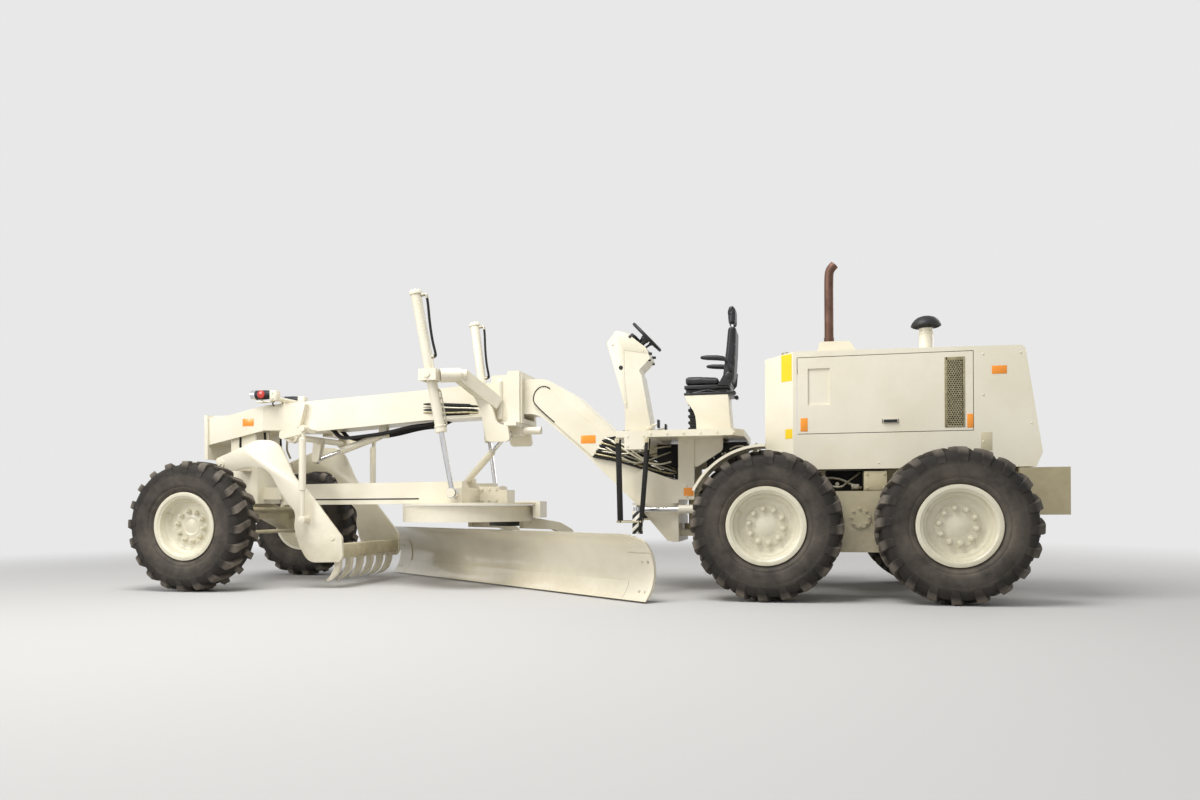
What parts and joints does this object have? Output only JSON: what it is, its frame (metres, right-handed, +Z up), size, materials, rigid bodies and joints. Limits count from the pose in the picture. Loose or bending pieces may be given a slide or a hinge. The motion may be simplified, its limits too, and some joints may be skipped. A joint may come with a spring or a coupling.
{
  "type": "motor grader",
  "caption": "Articulated motor grader with an open operator's station, tandem rear wheels, a long blade under an arched beam and a toothed scarifier behind the front axle",
  "frame": {"origin": "middle of the machine's footprint, on the ground", "axes": "+X forward, +Y to the machine's left, +Z up"},
  "size_m": [8.7175, 2.8393, 3.121],
  "materials": {
    "painted_steel": "semi-gloss off-white paint",
    "tyre": "dusty ribbed rubber",
    "rim": "semi-gloss cream paint",
    "chassis": "semi-gloss cream paint",
    "dark_steel": "satin black paint",
    "engine": "painted casting",
    "exhaust": "heat-browned steel",
    "plastic": "matte black plastic",
    "rod": "hard chrome",
    "blade": "polished by soil",
    "wear_steel": "dull wear steel",
    "vinyl": "black seat vinyl"
  },
  "bodies": {
    "rear_frame": {"rear_chassis": "chassis", "tandem_axle": "chassis", "counterweight": "painted_steel", "mudguards": "painted_steel", "hood": "painted_steel", "radiator_grille": "dark_steel", "engine": "engine", "radiator": "engine", "exhaust_stack": "exhaust", "air_precleaner": "plastic"},
    "front_frame": {"front_frame": "painted_steel", "saddle": "painted_steel", "front_axle": "chassis", "headlamps": "dark_steel", "platform": "painted_steel", "ladders": "dark_steel", "console": "painted_steel", "steering_wheel": "plastic", "seat_stand": "dark_steel", "seat_cushion": "vinyl", "seat_back": "vinyl"},
    "hood_door_left": {"hood_door_left": "painted_steel"},
    "hood_door_right": {"hood_door_right": "painted_steel"},
    "knuckle_left": {"knuckle_left": "painted_steel"},
    "knuckle_right": {"knuckle_right": "painted_steel"},
    "tie_rod": {"tie_rod": "chassis"},
    "drawbar": {"drawbar": "painted_steel"},
    "circle": {"circle": "painted_steel"},
    "blade_carrier": {"blade_carrier": "painted_steel"},
    "moldboard": {"moldboard": "blade", "cutting_edges": "wear_steel"},
    "blade_tip_barrel": {"blade_tip_barrel": "painted_steel"},
    "blade_tip_rod": {"blade_tip_rod": "rod"},
    "centre_shift_barrel": {"centre_shift_barrel": "painted_steel"},
    "centre_shift_rod": {"centre_shift_rod": "rod"},
    "scarifier": {"scarifier": "painted_steel"},
    "scarifier_shaft": {"scarifier_shaft": "painted_steel"},
    "scarifier_links": {"scarifier_links": "painted_steel"},
    "scarifier_barrel": {"scarifier_barrel": "painted_steel"},
    "scarifier_rod": {"scarifier_rod": "rod"},
    "lift_left_barrel": {"lift_barrel_left": "painted_steel"},
    "lift_left_rod": {"lift_rod_left": "rod"},
    "articulation_left_barrel": {"articulation_left_barrel": "painted_steel"},
    "articulation_left_rod": {"articulation_left_rod": "rod"},
    "wheel_front_left": {"tyre_front_left": "tyre", "rim_front_left": "rim"},
    "wheel_tandem_front_left": {"tyre_tandem_front_left": "tyre", "rim_tandem_front_left": "rim"},
    "wheel_tandem_rear_left": {"tyre_tandem_rear_left": "tyre", "rim_tandem_rear_left": "rim"},
    "lift_right_barrel": {"lift_barrel_right": "painted_steel"},
    "lift_right_rod": {"lift_rod_right": "rod"},
    "articulation_right_barrel": {"articulation_right_barrel": "painted_steel"},
    "articulation_right_rod": {"articulation_right_rod": "rod"},
    "wheel_front_right": {"tyre_front_right": "tyre", "rim_front_right": "rim"},
    "wheel_tandem_front_right": {"tyre_tandem_front_right": "tyre", "rim_tandem_front_right": "rim"},
    "wheel_tandem_rear_right": {"tyre_tandem_rear_right": "tyre", "rim_tandem_rear_right": "rim"}
  },
  "joints": [
    {"name": "tandem_front_left_spin", "type": "hinge", "parent": "rear_frame", "child": "wheel_tandem_front_left", "pos_m": [-1.8615, 0.965, 0.64], "axis": [0, 1, 0], "continuous": true},
    {"name": "tandem_rear_left_spin", "type": "hinge", "parent": "rear_frame", "child": "wheel_tandem_rear_left", "pos_m": [-3.3835, 0.965, 0.64], "axis": [0, 1, 0], "continuous": true},
    {"name": "front_left_spin", "type": "hinge", "parent": "knuckle_left", "child": "wheel_front_left", "pos_m": [3.7175, 0.985, 0.64], "axis": [0, 1, 0], "continuous": true},
    {"name": "tandem_front_right_spin", "type": "hinge", "parent": "rear_frame", "child": "wheel_tandem_front_right", "pos_m": [-1.8615, -0.965, 0.64], "axis": [0, 1, 0], "continuous": true},
    {"name": "tandem_rear_right_spin", "type": "hinge", "parent": "rear_frame", "child": "wheel_tandem_rear_right", "pos_m": [-3.3835, -0.965, 0.64], "axis": [0, 1, 0], "continuous": true},
    {"name": "front_right_spin", "type": "hinge", "parent": "knuckle_right", "child": "wheel_front_right", "pos_m": [3.7175, -0.985, 0.64], "axis": [0, 1, 0], "continuous": true},
    {"name": "articulation", "type": "hinge", "parent": "rear_frame", "child": "front_frame", "pos_m": [-1.1225, 0, 0.76], "axis": [0, 0, 1], "range_deg": [-20, 20]},
    {"name": "articulation_left_swing", "type": "hinge", "parent": "rear_frame", "child": "articulation_left_barrel", "pos_m": [-1.5925, 0.42, 0.78], "axis": [0, 0, 1], "range_deg": [-10.72, 10.72]},
    {"name": "articulation_left_stroke", "type": "slide", "parent": "articulation_left_barrel", "child": "articulation_left_rod", "axis": [0.9986, -0.0523, 0], "range_m": [-0.1571, 0.1571]},
    {"name": "articulation_right_swing", "type": "hinge", "parent": "rear_frame", "child": "articulation_right_barrel", "pos_m": [-1.5925, -0.42, 0.78], "axis": [0, 0, 1], "range_deg": [-10.72, 10.72]},
    {"name": "articulation_right_stroke", "type": "slide", "parent": "articulation_right_barrel", "child": "articulation_right_rod", "axis": [0.9986, 0.0523, 0], "range_m": [-0.1571, 0.1571]},
    {"name": "steering_left", "type": "hinge", "parent": "front_frame", "child": "knuckle_left", "pos_m": [3.7175, 0.76, 0.64], "axis": [0, 0, 1], "range_deg": [-32, 32]},
    {"name": "steering_right", "type": "hinge", "parent": "front_frame", "child": "knuckle_right", "pos_m": [3.7175, -0.76, 0.64], "axis": [0, 0, 1], "range_deg": [-33, 33]},
    {"name": "tie_rod_pin", "type": "hinge", "parent": "knuckle_left", "child": "tie_rod", "pos_m": [3.4675, 0.76, 0.6], "axis": [0, 0, 1], "range_deg": [-33, 33]},
    {"name": "hood_door_left_hinge", "type": "hinge", "parent": "rear_frame", "child": "hood_door_left", "pos_m": [-2.6225, 0.52, 2.135], "axis": [1, 0, 0], "range_deg": [0, 80]},
    {"name": "hood_door_right_hinge", "type": "hinge", "parent": "rear_frame", "child": "hood_door_right", "pos_m": [-2.6225, -0.52, 2.135], "axis": [-1, 0, 0], "range_deg": [0, 80]},
    {"name": "drawbar_lift", "type": "hinge", "parent": "front_frame", "child": "drawbar", "pos_m": [3.3975, 0, 0.97], "axis": [0, 1, 0], "range_deg": [0, 10]},
    {"name": "lift_left_swing", "type": "hinge", "parent": "front_frame", "child": "lift_left_barrel", "pos_m": [1.32107, 0.6949, 2.08], "axis": [-0.6216, 0.7823, 0.0395], "range_deg": [-0.2, 3.75]},
    {"name": "lift_left_stroke", "type": "slide", "parent": "lift_left_barrel", "child": "lift_left_rod", "axis": [-0.1557, -0.074, -0.985], "range_m": [-0.4094, 0.02]},
    {"name": "lift_right_swing", "type": "hinge", "parent": "front_frame", "child": "lift_right_barrel", "pos_m": [1.32107, -0.6949, 2.08], "axis": [0.6216, 0.7823, -0.0395], "range_deg": [-0.2, 3.75]},
    {"name": "lift_right_stroke", "type": "slide", "parent": "lift_right_barrel", "child": "lift_right_rod", "axis": [-0.1557, 0.074, -0.985], "range_m": [-0.4094, 0.02]},
    {"name": "centre_shift_swing", "type": "hinge", "parent": "drawbar", "child": "centre_shift_barrel", "pos_m": [1.3075, -0.14, 1.075], "axis": [-0.5249, -0.8483, 0.0693], "range_deg": [-0.5, 34.4]},
    {"name": "centre_shift_stroke", "type": "slide", "parent": "centre_shift_barrel", "child": "centre_shift_rod", "axis": [-0.7027, 0.4779, 0.5271], "range_m": [-0.1198, 0.02]},
    {"name": "circle_turn", "type": "hinge", "parent": "drawbar", "child": "circle", "pos_m": [1.2075, 0, 0.745], "axis": [0, 0, 1], "range_deg": [-106.6, 0]},
    {"name": "blade_pitch", "type": "hinge", "parent": "circle", "child": "blade_carrier", "pos_m": [0.96845, -0.32071, 0.15], "axis": [0.8018, -0.5976, 0], "range_deg": [0, 12]},
    {"name": "blade_tip_swing", "type": "hinge", "parent": "circle", "child": "blade_tip_barrel", "pos_m": [0.72044, -0.65345, 0.49], "axis": [0.8018, -0.5976, 0], "range_deg": [-9.34, 1]},
    {"name": "blade_tip_stroke", "type": "slide", "parent": "blade_tip_barrel", "child": "blade_tip_rod", "axis": [0.5955, 0.7989, -0.0844], "range_m": [-0.0785, 0.02]},
    {"name": "side_shift", "type": "slide", "parent": "blade_carrier", "child": "moldboard", "axis": [0.8018, -0.5976, 0], "range_m": [0, 0.45]},
    {"name": "scarifier_lift", "type": "hinge", "parent": "front_frame", "child": "scarifier", "pos_m": [3.6875, 0, 1.27], "axis": [0, 1, 0], "range_deg": [0, 9]},
    {"name": "shaft_turn", "type": "hinge", "parent": "front_frame", "child": "scarifier_shaft", "pos_m": [2.9375, 0, 1.54], "axis": [0, 1, 0], "range_deg": [-1, 39.73]},
    {"name": "link_swing", "type": "hinge", "parent": "scarifier", "child": "scarifier_links", "pos_m": [2.6975, 0, 0.7], "axis": [0, 1, 0], "range_deg": [-2, 3.35]},
    {"name": "scarifier_cylinder_swing", "type": "hinge", "parent": "front_frame", "child": "scarifier_barrel", "pos_m": [2.1775, 0, 1.585], "axis": [0, 1, 0], "range_deg": [-1, 3.42]},
    {"name": "scarifier_cylinder_stroke", "type": "slide", "parent": "scarifier_barrel", "child": "scarifier_rod", "axis": [0.9508, 0, -0.3098], "range_m": [-0.1581, 0.02]}
  ],
  "couplings": [
    {"joint": "articulation_left_swing", "follows": "articulation", "ratio": 0.48579},
    {"joint": "articulation_left_stroke", "follows": "articulation", "m_per_rad": -0.39285},
    {"joint": "articulation_right_swing", "follows": "articulation", "ratio": 0.48579},
    {"joint": "articulation_right_stroke", "follows": "articulation", "m_per_rad": 0.39285},
    {"joint": "steering_right", "follows": "steering_left", "ratio": 1},
    {"joint": "tie_rod_pin", "follows": "steering_left", "ratio": -1},
    {"joint": "lift_left_swing", "follows": "drawbar_lift", "ratio": 0.32471},
    {"joint": "lift_left_stroke", "follows": "drawbar_lift", "m_per_rad": -2.2309},
    {"joint": "lift_right_swing", "follows": "drawbar_lift", "ratio": 0.32471},
    {"joint": "lift_right_stroke", "follows": "drawbar_lift", "m_per_rad": -2.2309},
    {"joint": "centre_shift_swing", "follows": "drawbar_lift", "ratio": 3.3401},
    {"joint": "centre_shift_stroke", "follows": "drawbar_lift", "m_per_rad": -0.57199},
    {"joint": "blade_tip_swing", "follows": "blade_pitch", "ratio": -0.69508},
    {"joint": "blade_tip_stroke", "follows": "blade_pitch", "m_per_rad": -0.27922},
    {"joint": "shaft_turn", "follows": "scarifier_lift", "ratio": 4.1922},
    {"joint": "link_swing", "follows": "scarifier_lift", "ratio": 0.15039},
    {"joint": "scarifier_cylinder_swing", "follows": "scarifier_lift", "ratio": 0.26889},
    {"joint": "scarifier_cylinder_stroke", "follows": "scarifier_lift", "m_per_rad": -0.87932}
  ]
}
